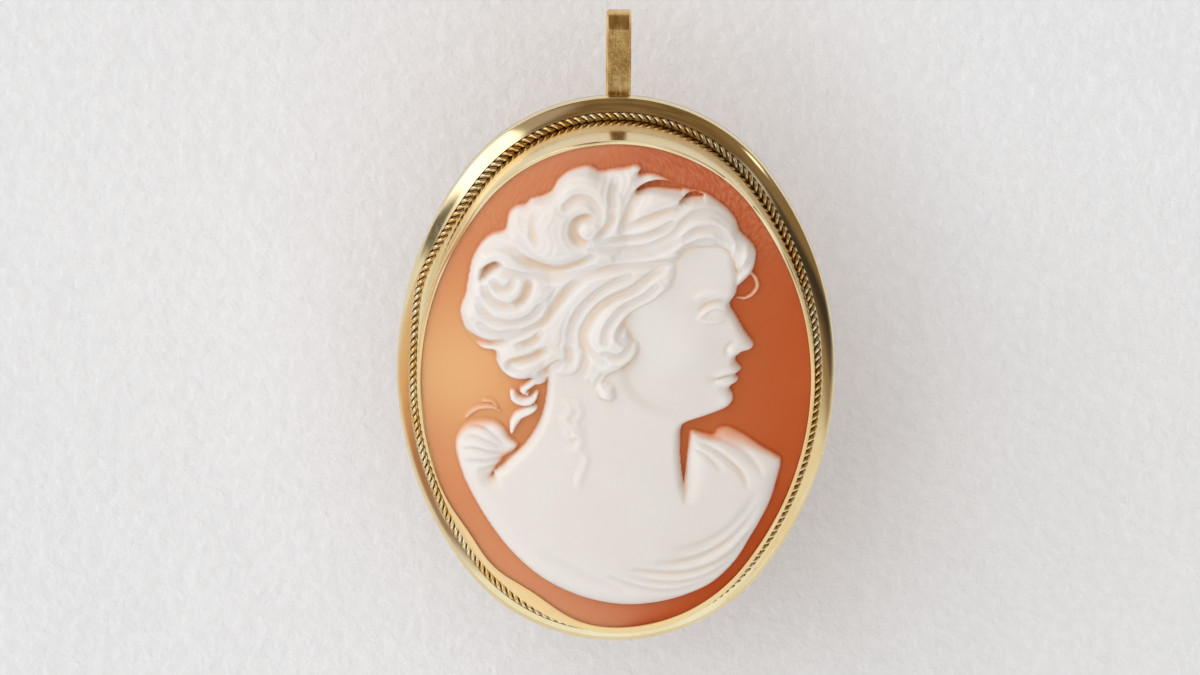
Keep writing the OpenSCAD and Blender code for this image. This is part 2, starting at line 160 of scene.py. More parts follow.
# sizes in mm: the opening is an oval of four arcs, which meet where their centres
# line up along the long side of a 3-4-5 triangle
HALF_W, HALF_H = 14.5, 19.5
END_C, SIDE_C = 1.5 * (HALF_H - HALF_W), 2.0 * (HALF_H - HALF_W)
END_R, SIDE_R = HALF_H - END_C, HALF_W + SIDE_C
JOIN = atan2(3.0, 4.0)
ARCS = [
    # centre x, centre y, radius, first angle, sweep
    (0.0, END_C, END_R, JOIN, pi - 2 * JOIN),
    (SIDE_C, 0.0, SIDE_R, pi - JOIN, 2 * JOIN),
    (0.0, -END_C, END_R, pi + JOIN, pi - 2 * JOIN),
    (-SIDE_C, 0.0, SIDE_R, -JOIN, 2 * JOIN),
]
PIN_DROP, PIN_UP, PIN_BACK = 6.75, HALF_H + 0.4, 2.65
BEND_R, LIP_HEIGHT, LEAN = 80.0, 3.9, atan2(1.9, HALF_H)
CREST_W, CREST_Z, BACK_Z = 0.92, 0.3, -1.15
FLANGE_W, FLANGE_R, SLOPE_IN, SLOPE_OUT = 0.95, 2.0, 14.0, 42.0
COLLAR_IN, COLLAR_OUT, FLOOR_Z = 0.1, 0.3, -0.04
# counted from the shell's front: heights of the lip's underside and of the ledge's
# top and foot; and how far the ledge reaches inside the opening
LIP_UNDER, LEDGE_TOP, LEDGE_FOOT, LEDGE_REACH = -0.235, -1.86, -2.36, -1.1
STATIONS = 560
# hand-made unevenness: angle round the oval, shift in mm, half width in degrees
ROPE_SHIFTS = [(153, 0.42, 13), (205, 0.1, 24), (45, -0.06, 20), (250, 0.05, 20)]
LIP_SHIFTS = [(249, -0.95, 11), (228, -0.4, 9), (30, 0.04, 20), (60, 0.08, 10)]
COLLAR_SHIFTS = [(281, 0.2, 19), (200, -0.2, 26), (245, -0.28, 11)]
LUG_IN, LUG_T, LUG_R, LUG_HOLE = 0.975, 0.6, 0.9, 0.39
LUG_SIDE, LUG_TOP, LUG_SHOULDER = 0.8, 1.6, 0.41


def stand(points):
    """Points of the flat pendant, in mm, brought under the hinge, in metres."""
    x, y, z = np.moveaxis(np.asarray(points, float), -1, 0)
    y, z = y - PIN_UP, z + PIN_BACK
    c, s = cos(HANG_TILT), sin(HANG_TILT)
    return np.stack([x, -y * s - z * c, y * c - z * s - PIN_DROP], -1) * MM


def oval_points(count, w):
    """Points of the opening's edge, evenly spaced at a distance outside it, and their outward directions."""
    lengths = np.array([(arc[2] + w) * arc[4] for arc in ARCS])
    ends = np.cumsum(lengths)
    place, out = np.zeros((count, 2)), np.zeros((count, 2))
    for k, run in enumerate(np.arange(count) * ends[-1] / count):
        i = int(np.searchsorted(ends, run, side="right"))
        cx, cy, r, first, _ = ARCS[i]
        angle = first + (run - (ends[i] - lengths[i])) / (r + w)
        out[k] = cos(angle), sin(angle)
        place[k] = (cx, cy) + r * out[k]
    return place, out


def uneven(place, rows):
    """How far a part of the frame strays at each point round the oval."""
    angle = np.degrees(np.arctan2(place[:, 1], place[:, 0]))
    total = np.zeros(len(place))
    for middle, shift, spread in rows:
        off = (angle - middle + 180) % 360 - 180
        total += shift * np.exp(-(off / spread) ** 2)
    return total


def shell_front(x, y):
    """Height of the leaning, bent shell's front over the flat frame."""
    c, s = cos(LEAN), sin(LEAN)
    bend = np.sqrt(BEND_R ** 2 - x ** 2) - BEND_R
    return (y + bend * s) / c * s + bend * c + LIP_HEIGHT


def mesh_object(name, points, faces, material):
    """A new object from its points, its faces and its finish, smooth all over."""
    mesh = bpy.data.meshes.new(name)
    mesh.from_pydata(points.tolist(), [], faces)
    mesh.materials.append(material)
    made = bpy.data.objects.new(name, mesh)
    bpy.context.scene.collection.objects.link(made)
    mesh.polygons.foreach_set("use_smooth", np.ones(len(mesh.polygons), bool))
    return made


def frame_section():
    """The soldered section, from the back round the rim, the crest, the collar and the lip to the ledge."""
    rim = CREST_W + FLANGE_W
    sin_in, cos_in = sin(radians(SLOPE_IN)), cos(radians(SLOPE_IN))
    sin_out, cos_out = sin(radians(SLOPE_OUT)), cos(radians(SLOPE_OUT))
    # each row: distance outside the opening, whether the height counts from the shell's
    # front, the height, and the shares it takes of the rope's, lip's and collar's shifts
    rows = [
        (COLLAR_IN, 0, BACK_Z, 0, 0, 0), (rim - 0.1, 0, BACK_Z, 0, 0, 0),
        (rim - 0.03, 0, BACK_Z + 0.03, 0, 0, 0), (rim, 0, BACK_Z + 0.1, 0, 0, 0),
    ]
    edge_w, edge_z = CREST_W + FLANGE_R * (sin_out - sin_in), CREST_Z + FLANGE_R * (cos_out - cos_in)
    corner_r = (rim - edge_w) / (1 - sin_out)
    for turn in np.radians([90, 78, 66, 54, 46]):
        w, z = edge_w + corner_r * (sin(turn) - sin_out), edge_z + corner_r * (cos(turn) - cos_out)
        rows.append((w, 0, z, (rim - w) / FLANGE_W, 0, 0))
    for turn in np.radians(np.linspace(SLOPE_OUT, SLOPE_IN, 9)):
        w, z = CREST_W + FLANGE_R * (sin(turn) - sin_in), CREST_Z + FLANGE_R * (cos(turn) - cos_in)
        rows.append((w, 0, z, (rim - w) / FLANGE_W, 0, 0))
    rows += [
        (CREST_W + 0.005, 0, CREST_Z - 0.03, 1, 0, 0), (CREST_W, 0, FLOOR_Z, 1, 0, 0),
        (COLLAR_OUT, 0, FLOOR_Z, 0, 0, 0), (COLLAR_OUT, 1, -0.13, 0, 0, 1),
        (COLLAR_OUT - 0.015, 1, -0.06, 0, 0, 1), (COLLAR_OUT - 0.04, 1, -0.015, 0, 0.1, 1),
        (COLLAR_OUT - 0.08, 1, 0, 0, 0.3, 0.9), (0.02, 1, -0.01, 0, 0.95, 0),
        (0, 1, -0.03, 0, 1, 0), (-0.01, 1, -0.09, 0, 1, 0), (0, 1, LIP_UNDER, 0, 1, 0),
        (COLLAR_IN, 1, LIP_UNDER, 0, 0, 1), (COLLAR_IN, 1, LEDGE_TOP, 0, 0, 0),
        (LEDGE_REACH, 1, LEDGE_TOP, 0, 0, 0), (LEDGE_REACH, 1, LEDGE_FOOT, 0, 0, 0),
        (COLLAR_IN, 1, LEDGE_FOOT, 0, 0, 0),
    ]
    return np.array(rows)


def frame_sweep():
    """The section taken round the oval, with the ripples that handwork leaves in the flange and the lip."""
    section = frame_section()
    place, out = oval_points(STATIONS, CREST_W)
    rope, lip = uneven(place, ROPE_SHIFTS), uneven(place, LIP_SHIFTS)
    collar = uneven(place, COLLAR_SHIFTS)[:, None] * section[:, 5]
    w = section[:, 0] + rope[:, None] * section[:, 3] + lip[:, None] * section[:, 4] + collar
    x, y = place[:, :1] + out[:, :1] * w, place[:, 1:] + out[:, 1:] * w
    run = np.linspace(0, 2 * pi, STATIONS, endpoint=False)[:, None]
    filed = 0.014 * np.sin(7 * run + 1) + 0.01 * np.sin(13 * run + 2)
    pressed = 0.022 * np.sin(9 * run) + 0.016 * np.sin(17 * run + 1)
    hand = filed * section[:, 3] * (1 - section[:, 3]) * 4
    hand = hand + pressed * section[:, 4] * (w < COLLAR_OUT - 0.05)
    z = section[:, 2] + section[:, 1] * shell_front(x, y) + hand
    points = np.stack([x, y, z], -1).reshape(-1, 3)
    n = len(section)
    faces = []
    for i in range(STATIONS):
        a, b = i * n, (i + 1) % STATIONS * n
        faces += [(a + k, b + k, b + (k + 1) % n, a + (k + 1) % n) for k in range(n)]
    return points, faces


def hinge_lug(x_in, x_out):
    """One flat lug with a round end and the pin's hole through it."""
    corner = atan2(LUG_TOP, LUG_SIDE)
    turns = sorted([2 * pi * k / 36 for k in range(36)] + [corner, pi - corner])
    reach = []
    for turn in turns:
        c, s = abs(cos(turn)), sin(turn)
        flank = LUG_SIDE / max(c, 1e-6)
        squared = s > 0 and flank * s > LUG_SHOULDER
        reach.append(min(flank, LUG_TOP / s) if squared else LUG_R)
    n = len(turns)
    points = []
    for x in (x_in, x_out):
        for r in (reach, [LUG_HOLE] * n):
            points += [(x, PIN_UP + r[k] * cos(turns[k]), -PIN_BACK + r[k] * sin(turns[k])) for k in range(n)]
    faces = []
    for k in range(n):
        m = (k + 1) % n
        faces += [
            (k, m, n + m, n + k), (2 * n + k, 3 * n + k, 3 * n + m, 2 * n + m),
            (k, 2 * n + k, 2 * n + m, m), (n + k, n + m, 3 * n + m, 3 * n + k),
        ]
    return points, faces


parts = [frame_sweep(), hinge_lug(LUG_IN, LUG_IN + LUG_T), hinge_lug(-LUG_IN - LUG_T, -LUG_IN)]
frame_points, frame_faces = np.zeros((0, 3)), []
for part_points, part_faces in parts:
    first = len(frame_points)
    frame_faces += [tuple(v + first for v in face) for face in part_faces]
    frame_points = np.concatenate([frame_points, part_points])
polished = gold_material("polished_gold", GOLD, 0.08, 0.2, 1.0, 0.1)
gold_frame = mesh_object("gold_frame", stand(frame_points), frame_faces, polished)
bpy.ops.object.select_all(action="DESELECT")
bpy.context.view_layer.objects.active = gold_frame
gold_frame.select_set(True)
bpy.ops.object.mode_set(mode="EDIT")
bpy.ops.mesh.select_all(action="SELECT")
bpy.ops.mesh.normals_make_consistent(inside=False)
bpy.ops.object.mode_set(mode="OBJECT")
bpy.ops.object.shade_smooth_by_angle(angle=radians(34))
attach(gold_frame, "pendant")
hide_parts("bezel_frame")

# The rope: two gold wires twisted tightly together and laid in the channel
# round the collar. The crests are rubbed bright, and the colour turns dark
# brown towards the middle of the twist, between the strands.
TURNS = 94
STRAND_SIDES = 10
STEPS_A_TURN = 18
ROPE_W, ROPE_Z, ROPE_R = 0.61, 0.27, 0.29
ROPE_GOLD, ROPE_BROWN = (0.88, 0.60, 0.24), (0.26, 0.15, 0.05)


def set_attribute(made, name, values):
    """A number for each point, which the piece's material reads."""
    field = made.data.attributes.new(name, "FLOAT", "POINT")
    field.data.foreach_set("value", np.asarray(values, float).ravel())


def rope_strand(phase):
    """One strand's points, its faces, and how far each point stands out of the twist."""
    count = TURNS * STEPS_A_TURN
    edge, out = oval_points(count, ROPE_W)
    place = edge + (ROPE_W + uneven(edge, ROPE_SHIFTS))[:, None] * out
    strand_r = ROPE_R / 2
    twist = phase - 2 * pi * np.arange(count) / STEPS_A_TURN
    side = np.concatenate([out, np.zeros((count, 1))], 1)
    up = np.array([0.0, 0.0, 1.0])
    spoke = np.cos(twist)[:, None] * side + np.sin(twist)[:, None] * up
    centre = np.concatenate([place, np.full((count, 1), ROPE_Z)], 1) + strand_r * spoke
    along = np.roll(centre, -1, 0) - np.roll(centre, 1, 0)
    along /= np.linalg.norm(along, axis=1, keepdims=True)
    across = np.cross(along, spoke)
    across /= np.linalg.norm(across, axis=1, keepdims=True)
    spoke = np.cross(across, along)
    angle = 2 * pi * np.arange(STRAND_SIDES) / STRAND_SIDES
    cosine, sine = np.cos(angle)[None, :, None], np.sin(angle)[None, :, None]
    ring = strand_r * (cosine * spoke[:, None] + sine * across[:, None])
    points = (centre[:, None] + ring).reshape(-1, 3)
    middle = np.repeat(np.concatenate([place, np.full((count, 1), ROPE_Z)], 1), STRAND_SIDES, 0)
    crest = np.linalg.norm(points - middle, axis=1) / ROPE_R
    faces = []
    for i in range(count):
        a, b = i * STRAND_SIDES, (i + 1) % count * STRAND_SIDES
        for k in range(STRAND_SIDES):
            n = (k + 1) % STRAND_SIDES
            faces.append((a + k, a + n, b + n, b + k))
    return points, faces, crest


def rope_material():
    """Gold rubbed bright on the crests and brown between the strands."""
    metal = Shader("rope_gold")
    crest = metal.attribute("crest") + (metal.noise(900.0, 3.0) - 0.5) * 0.25
    tone = metal.mix(metal.noise(300.0).fade(0.4, 0.65), ROPE_GOLD, PALE_GOLD)
    base = metal.mix(crest.fade(0.45, 0.8), ROPE_BROWN, tone)
    shine = 0.5 - crest.fade(0.6, 0.95) * 0.24
    return metal.surface(Base_Color=base, Metallic=1.0, Roughness=shine)


strands = [rope_strand(phase) for phase in (0.0, pi)]
shift = len(strands[0][0])
rope_points = np.concatenate([s[0] for s in strands])
rope_faces = strands[0][1] + [tuple(v + shift for v in face) for face in strands[1][1]]
rope = mesh_object("twisted_rope", stand(rope_points), rope_faces, rope_material())
set_attribute(rope, "crest", np.concatenate([s[2] for s in strands]))
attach(rope, "pendant")
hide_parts("rope_wire")

# The cameo: one piece of helmet shell, carved by hand. The white layer is cut
# away down to the orange one round the bust, and thins to pink and tan in the
# deep cuts, the tan partly painted shade. It is bent like the shell it came from and held under the lip.
GROUND_FRONT, GROUND_BACK = 0.24, 1.84
SHELL_EDGE, END_CUT = 0.08, 0.02
FIGURE_UP = 0.13
# height of the layer's flat parts, and how far in from the edge each part is rounded
LAYER, HAIR_ROUND, SKIN_ROUND, DRAPE_ROUND = 0.95, 0.95, 0.6, 1.5
# the locks: how far from a valley they follow it, how wide each is, how deep valleys go
COMB_REACH, LOCK_WIDTH, VALLEY_DEPTH = 1.9, 0.52, 0.6
GRID_COLUMNS, GRID_ROWS, BACK_COLUMNS = 236, 326, 9
FACE_THIRD, CHIN_Y = 4.65, -1.95
# a plain classical profile: thirds of the face above the chin, and x
PROFILE = [
    (0, 7.4), (0.1, 8.35), (0.26, 8.75), (0.44, 8.45), (0.56, 9.1), (0.66, 8.85), (0.75, 9.3),
    (0.88, 8.85), (0.99, 8.95), (1.08, 9.9), (1.17, 10.15), (1.4, 9.45), (1.65, 8.85), (1.87, 8.35),
    (2.05, 8.8), (2.3, 8.9), (2.5, 8.75),
]
# outlines of the hair, of the skin and of the drape
HAIR_EDGE = [
    (-2.4, 17.7), (-3.5, 17.3), (-4.3, 16.6), (-4.8, 15.7), (-5.5, 15.25), (-6.3, 15), (-6.7, 14.6),
    (-7.4, 14.4), (-7.9, 13.9), (-8.1, 13), (-8.3, 12.45), (-9.1, 12.2), (-9.8, 11.6), (-10.3, 10.8),
    (-10.7, 9.8), (-10.9, 8.6), (-11.15, 7.2), (-11.55, 6), (-11.4, 5), (-11, 4), (-10.4, 3.3),
    (-9.8, 2.9), (-8.9, 2.75), (-8.85, 2), (-8.4, 1.2), (-7.6, 0.7), (-6.7, 0.65), (-6.3, 0.75),
    (-6, 0.2), (-5.2, 0.4), (-5, 0.9), (-4, 0.9), (-2.6, 0.6), (-1.8, 0.1), (-1.3, -0.6), (-0.6, -0.9),
    (0.1, -0.7), (0.3, 0), (0.2, 1), (0.8, 1.7), (1.5, 2.3), (1.9, 3.2), (1.75, 4.2), (1.2, 4.9),
    (1, 5.6), (1.9, 6.4), (3, 7.1), (4.2, 8.2), (4.6, 9.6), (4.9, 11), (6.3, 11.5), (7.6, 11.2),
    (8.25, 10.5), (8.55, 9.6), (8.6, 8.8), (8.7, 8.05), (9.35, 8.5), (9.95, 9.2), (10.2, 10.2),
    (10.2, 11), (9.6, 11.85), (9, 12.5), (8.7, 13.4), (8.1, 14.25), (7.2, 15.05), (6.4, 15.55),
    (5.2, 15.85), (4.5, 16.15), (3.9, 16.5), (3.2, 16.9), (2.4, 17.15), (1.8, 17.05), (1.55, 17.15),
    (1.75, 17.6), (1.3, 17.8), (0.5, 17.6), (-0.4, 17.5), (-1.2, 17.3), (-1.8, 17.6),
]
SKIN_EDGE = [(4.2, 12), (8, 11.6)] + [(x, CHIN_Y + t * FACE_THIRD) for t, x in reversed(PROFILE)] + [
    (6.3, -2.3), (5.3, -2.6), (4.9, -3), (4.82, -4), (4.85, -5.4), (5.1, -7.5), (6, -12), (0, -15), (-6, -12),
    (-9, -7.6), (-8.3, -6.3), (-7.5, -5.4), (-6.6, -4.4), (-5.7, -2.8), (-5.25, -1.2), (-5.05, 0.6), (-5, 3),
    (-3, 8), (0, 10.5),
]
CHEST_EDGE = [
    (-9.2, -7.3), (-8.6, -6.6), (-7.8, -5.7), (-4, -7), (0, -8), (4.5, -8), (5.15, -7.2), (5.3, -5.4),
    (5.5, -3.6), (5.75, -3.35), (6.6, -3.6), (7.3, -3.7), (7.6, -3.25), (8.3, -3.1), (9, -3.45),
    (9.8, -3.95), (10.9, -4.85), (12, -5.6), (12.4, -6.1), (12.2, -7.3), (11.7, -9.2), (11, -10.8),
    (10.2, -12.3), (9.3, -13.9), (8.2, -15.2), (7, -16.15), (5.2, -16.95), (3.3, -17.45), (1.2, -17.65),
    (-0.8, -17.45), (-2.8, -16.9), (-4.8, -15.95), (-6.4, -14.8), (-7.9, -13.3), (-9.1, -11.7),
    (-10.2, -9.9), (-11.2, -7.9), (-11.7, -6.4), (-11.95, -4.9), (-11.6, -3.8), (-10.9, -3.1),
    (-10, -2.8), (-9, -2.8), (-8.3, -3.3), (-7.9, -4), (-7.25, -4.6), (-7.5, -5.2), (-8.4, -6.2),
    (-9, -6.9),
]
# rounded masses of the hair: x, y, half width, half height, turn, height
MASSES = [
    (-0.6, 8.2, 9.6, 9.4, 0, 1.25), (-3, 13.2, 4.4, 4.4, 0, 1.75), (-8, 7.8, 3.9, 4.6, 0, 1.6),
    (4.2, 13.1, 5, 2.9, -12, 1.7), (9.3, 11, 1.15, 2, 12, 1.3), (-0.2, 4.4, 2.6, 3.2, 0, 1.75),
    (-7.2, 2.2, 2.1, 1.8, 10, 1.35), (-0.7, 0.1, 1.05, 1, 0, 1.5),
]
# valleys between the locks: depth, half width, points along the valley
VALLEYS = [
    (1.0, 0.38, [(-1.7, 14), (-2.4, 14.1), (-3, 13.7), (-3.15, 12.9), (-2.8, 12.3), (-2.1, 12.1)]),
    (0.3, 0.45, [(-3.7, 15), (-2.9, 15.6), (-2, 15.4), (-1.4, 14.6), (-1.3, 13.8)]),
    (0.95, 0.42, [(-7.3, 10.8), (-6.2, 10.2), (-4.9, 9.85), (-3.9, 9.95), (-2.9, 10.35), (-1.8, 11)]),
    (0.45, 0.36, [(-5.8, 14.4), (-6.2, 13.7), (-6.2, 12.8), (-5.9, 12)]),
    (0.35, 0.32, [(-6.6, 14.6), (-6.9, 13.8), (-6.8, 13)]),
    (0.5, 0.35, [(-0.4, 14.6), (-0.45, 13.9), (-0.85, 13.2), (-1.4, 12.5)]),
    (0.4, 0.4, [(-1.1, 12.25), (0.4, 12.35), (1.5, 12.5), (2.4, 12.8), (3.3, 13.2), (4, 13.7)]),
    (0.45, 0.38, [(0.4, 13.2), (1.5, 13.65), (2.4, 14.1), (3.5, 14.5), (4.4, 14.8)]),
    (0.5, 0.38, [(0.4, 13.3), (0.65, 13.9), (0.95, 14.7), (1.3, 15.4), (1.7, 16.1)]),
    (0.28, 0.4, [(-0.1, 16.8), (-0.35, 15.8), (-0.25, 14.9)]),
    (0.3, 0.42, [(-1.8, 11.8), (-0.5, 11.55), (0.9, 11.5), (2.1, 11.75), (3.1, 12.2), (4.1, 12.85),
                 (4.7, 13.6), (5.3, 14.15), (6.1, 14.4), (7.1, 14.3), (8, 13.6)]),
    (0.2, 0.4, [(0, 10.95), (1.3, 11), (2.6, 11.3), (3.7, 11.8), (4.5, 12.4)]),
    (0.35, 0.36, [(4.7, 11.4), (5.6, 12), (6.5, 12.2), (7.2, 12), (7.9, 11.2)]),
    (0.3, 0.38, [(4.9, 12.5), (5.7, 13.05), (6.4, 13.2), (7.2, 13.1), (7.8, 12.5), (8.2, 11.8)]),
    (0.35, 0.28, [(10, 10.8), (9.6, 10.1), (9.2, 9.6), (8.75, 9.3)]),
    (0.22, 0.3, [(9.1, 12), (9, 11), (8.8, 10.2)]),
    (0.4, 0.26, [(4.2, 14.6), (4.7, 15), (5.2, 15.35)]),
    (0.7, 0.42, [(3.3, 10), (2.6, 9.5), (1.9, 8.9), (1.2, 8.3), (0.1, 7.8), (-1, 7.1), (-1.9, 6),
                 (-2.4, 4.8), (-2.25, 3.8), (-1.6, 3.1), (-0.9, 2.6)]),
    (0.25, 0.4, [(4.2, 10.6), (2.8, 10.3), (1, 10.2), (-0.8, 9.9), (-2.2, 9.4), (-3.2, 8.7), (-3.9, 7.9),
                 (-4.4, 7)]),
    (0.5, 0.4, [(-2.6, 9), (-3.4, 8.3), (-4.1, 7.4), (-4.7, 6.6), (-5.2, 5.8), (-6.2, 5.1), (-7.2, 4.6),
                (-8.1, 4)]),
    (0.9, 0.35, [(-8.1, 4), (-9.2, 3.6), (-10.4, 3.75), (-11.2, 4.3)]),
    (0.3, 0.38, [(1, 9.4), (-0.3, 8.8), (-1.3, 8.1), (-2.2, 7.2), (-2.9, 6.2), (-3.3, 5), (-3.3, 4.2)]),
    (0.3, 0.32, [(2.9, 8.5), (2.3, 7.9), (1.5, 7.4), (0.6, 6.9), (-0.2, 6.1), (-0.7, 5.2), (-0.8, 4.4)]),
    (0.5, 0.35, [(3.6, 7.9), (2.8, 7.1), (1.8, 6.6), (0.9, 6), (0.35, 5.3), (0.3, 4.7), (0.75, 4.35)]),
    (0.6, 0.35, [(1.75, 3.2), (1.3, 2.5), (0.5, 1.9), (-0.2, 1.45), (-0.7, 0.8)]),
    (0.25, 0.3, [(1.05, 5), (1.1, 4.2), (0.8, 3.5), (0.1, 3.1), (-0.8, 3.3)]),
    (0.9, 0.33, [(-5.2, 3.35), (-6.1, 2.8), (-7.1, 2.5), (-7.8, 2.2), (-7.8, 1.75), (-7.2, 1.45)]),
    (0.8, 0.3, [(-4.1, 2.4), (-4.8, 1.85), (-5.5, 1.35)]),
    (0.5, 0.3, [(-3.5, 3.7), (-3.4, 3), (-3.55, 2.2)]),
    (0.4, 0.35, [(-2.2, 3), (-2.35, 2), (-2.8, 1.3), (-3.6, 1)]),
    (0.4, 0.32, [(-5.6, 4.6), (-6.2, 4), (-7.1, 3.65)]),
    (1.3, 0.38, [(-9.95, 9), (-9.5, 9.6), (-8.9, 9.95), (-8.5, 9.8)]),
    (0.35, 0.4, [(-8.6, 9.8), (-7.3, 9.4), (-6.1, 9.25), (-4.5, 9.2), (-3.1, 9.5), (-1.7, 10.1)]),
    (0.9, 0.36, [(-6.35, 9), (-6.6, 8.1), (-7, 7.4), (-7.6, 6.95)]),
    (0.35, 0.35, [(-7.6, 6.95), (-8.5, 6.95), (-9.3, 7.4), (-9.7, 8.2)]),
    (0.3, 0.3, [(-9, 8.8), (-8.6, 8.3), (-8, 8.3), (-7.6, 8.8)]),
    (0.35, 0.38, [(-10.2, 7.2), (-9.8, 6.4), (-9.1, 5.75), (-8.2, 5.5), (-7.2, 5.6), (-6.2, 6.1),
                  (-5.6, 6.9)]),
    (0.2, 0.35, [(-10, 5.2), (-9.2, 4.6), (-8.2, 4.6), (-7.3, 5)]),
    (0.25, 0.4, [(-9.6, 11.2), (-8.8, 11.55), (-7.8, 11.3), (-7, 10.7)]),
]
# folds of the drape: depth, half width, points
FOLDS = [
    (0.26, 0.22, [(5.7, -3.85), (7.4, -4), (9, -4.75), (10.3, -5.8), (11, -6.9)]),
    (0.36, 0.17, [(5.75, -4.05), (7.2, -4.7), (8.5, -5.7), (9.4, -6.7), (9.9, -7.8)]),
    (0.26, 0.16, [(5.8, -4.6), (6.9, -5.3), (7.9, -6.4)]),
    (0.22, 0.36, [(10.7, -8.2), (9.6, -10), (8.2, -11.4), (6.3, -12.4), (4.4, -12.7)]),
    (0.32, 0.3, [(10.8, -9.3), (9.6, -11.1), (7.9, -12.6), (5.6, -13.6), (3, -13.8)]),
    (0.34, 0.28, [(10.4, -11.3), (9.2, -12.9), (7.4, -14.1), (5, -14.7), (2.4, -14.5), (0.6, -13.9)]),
    (0.28, 0.26, [(9.3, -13.2), (7.8, -14.6), (5.6, -15.4), (3.2, -15.4), (0.9, -14.7)]),
    (0.24, 0.26, [(7.8, -15), (6, -15.9), (3.8, -16.2), (1.4, -15.7), (-0.6, -14.8)]),
    (0.14, 0.4, [(-5.6, -12.9), (-3.6, -14), (-1.2, -15.3), (1.2, -16.4)]),
    (0.3, 0.17, [(-8.05, -4.85), (-9.2, -3.8), (-10.1, -3.3), (-10.9, -3.35)]),
    (0.3, 0.17, [(-8.1, -5.05), (-9.4, -4.45), (-10.5, -4.1), (-11.3, -4.3)]),
    (0.28, 0.17, [(-8.2, -5.35), (-9.5, -5.2), (-10.6, -5), (-11.5, -5.2)]),
    (0.25, 0.18, [(-8.4, -5.7), (-9.5, -5.95), (-10.4, -5.95), (-11.2, -6.1)]),
    (0.2, 0.18, [(-8.7, -6.2), (-9.5, -6.6), (-10.3, -6.8)]),
    (0.6, 0.3, [(-7.7, -5.3), (-8.3, -6.1), (-9, -7)]),
]
# places where the drape runs out thin: share taken off, x, y, half width, half height, turn
THIN_DRAPE = [
    (0.6, 8.4, -3.7, 3.4, 1.1, -28), (0.3, -10.3, -3.2, 1.9, 1.1, 10), (0.3, -8, -5.6, 1.4, 0.8, -50),
]
# faint ringlets lying on the neck: height, half width, points
RINGLETS = [
    (0.19, 0.36, [(-3.95, -0.6), (-3.35, -1.3), (-3.75, -2.1), (-3.2, -2.85), (-2.6, -3.7), (-3, -4.5),
                  (-3.6, -4.4)]),
    (0.15, 0.3, [(-2.9, -4.6), (-2.2, -5.2), (-2.5, -6.2), (-2.75, -7.1), (-2.6, -7.7)]),
    (0.13, 0.26, [(-3.1, -0.5), (-2.6, -1.5), (-2.95, -2.3), (-2.4, -3)]),
    (0.14, 0.24, [(-3.8, -2.9), (-3.4, -3.5), (-2.9, -3.1)]),
]
# loose strands, raised from the ground: height, half width, points
STRANDS = [
    (0.75, 0.28, [(-5.8, 1.1), (-6.1, 0.5), (-6.6, 0.05), (-6.9, -0.25), (-6.5, -0.5)]),
    (0.85, 0.36, [(-7.65, -0.45), (-7.4, -0.95), (-6.8, -1.15), (-6.2, -0.95), (-5.85, -0.4)]),
    (0.85, 0.36, [(-6, -1.6), (-6.6, -1.95), (-7.2, -2.3), (-7.55, -2.9), (-7.7, -3.6)]),
    (0.3, 0.2, [(-11.1, -2.7), (-10.35, -2), (-9.3, -1.8), (-8.6, -2.1)]),
    (0.24, 0.13, [(-9.85, -1.35), (-9.2, -1.35), (-8.75, -1.8)]),
    (0.26, 0.17, [(9.75, 9.2), (10.2, 8.7), (10.35, 8), (10, 7.4), (9.4, 7.1), (8.85, 7.2)]),
]
# places where the cuts reach the orange layer: half width, share cut away, points
GAPS = [
    (0.4, 1, [(1.55, 15.9), (2.1, 16.2), (2.8, 16.32), (3.7, 16.2), (4.6, 15.98)]),
    (0.27, 1, [(4.7, 15.2), (5.4, 15.45), (6.2, 15.35)]),
    (0.26, 0.6, [(-9.9, 8.95), (-9.5, 9.45), (-8.9, 9.85)]),
]
# soft forms of a plain face and body: height, x, y, half width, half height
FORMS = [
    (0.35, 4.8, 3.6, 4.5, 5.2), (0.25, 0, -5, 5, 4), (0.45, 1, -11, 9, 6), (0.15, 7.6, 7.75, 1.5, 0.38),
    (-0.34, 7.3, 6.45, 1.3, 0.85), (0.36, 7.3, 6.3, 0.78, 0.5), (0.22, 8.75, 3.35, 0.55, 0.45),
    (0.16, 5.6, 3.6, 1.9, 1.6), (0.14, 8.1, -0.9, 0.8, 0.7), (-0.12, 7.15, 0.98, 0.35, 0.35),
    (-0.1, 5, 7.4, 1.3, 1.5),
]
# lids, nostril, lips: height, half width, points
FACE_LINES = [
    (0.3, 0.15, [(6, 5.95), (6.5, 6.5), (7.2, 6.85), (7.9, 6.75), (8.25, 6.45)]),
    (0.2, 0.13, [(6.1, 5.9), (6.8, 5.7), (7.5, 5.72), (8.05, 5.95)]),
    (-0.16, 0.13, [(6, 6.45), (6.6, 7), (7.4, 7.25), (8.1, 7.1)]),
    (0.16, 0.3, [(5.7, 7.5), (6.6, 8), (7.6, 8.1), (8.4, 7.9)]),
    (-0.2, 0.15, [(8.75, 4), (8.3, 3.8), (8.1, 3.3), (8.3, 2.85)]),
    (-0.35, 0.13, [(9, 2.95), (9.4, 2.98), (9.65, 3.05)]),
    (-0.34, 0.13, [(9, 1.15), (8.4, 1.22), (7.8, 1.1), (7.25, 0.95)]),
    (0.14, 0.28, [(9.2, 1.55), (8.5, 1.66), (7.8, 1.36), (7.35, 1.05)]),
    (0.14, 0.27, [(9.1, 0.7), (8.5, 0.6), (7.9, 0.72), (7.4, 0.92)]),
    (-0.12, 0.28, [(8.6, 0.05), (8.1, -0.02), (7.6, 0.2)]),
]
# the jaw's lower edge, below which the neck is cut back
JAW = [(8.4, -2.3), (7, -2.2), (5.4, -2.1), (3.6, -1.7), (2, -0.9), (0.9, 0.3), (0.5, 1.6)]


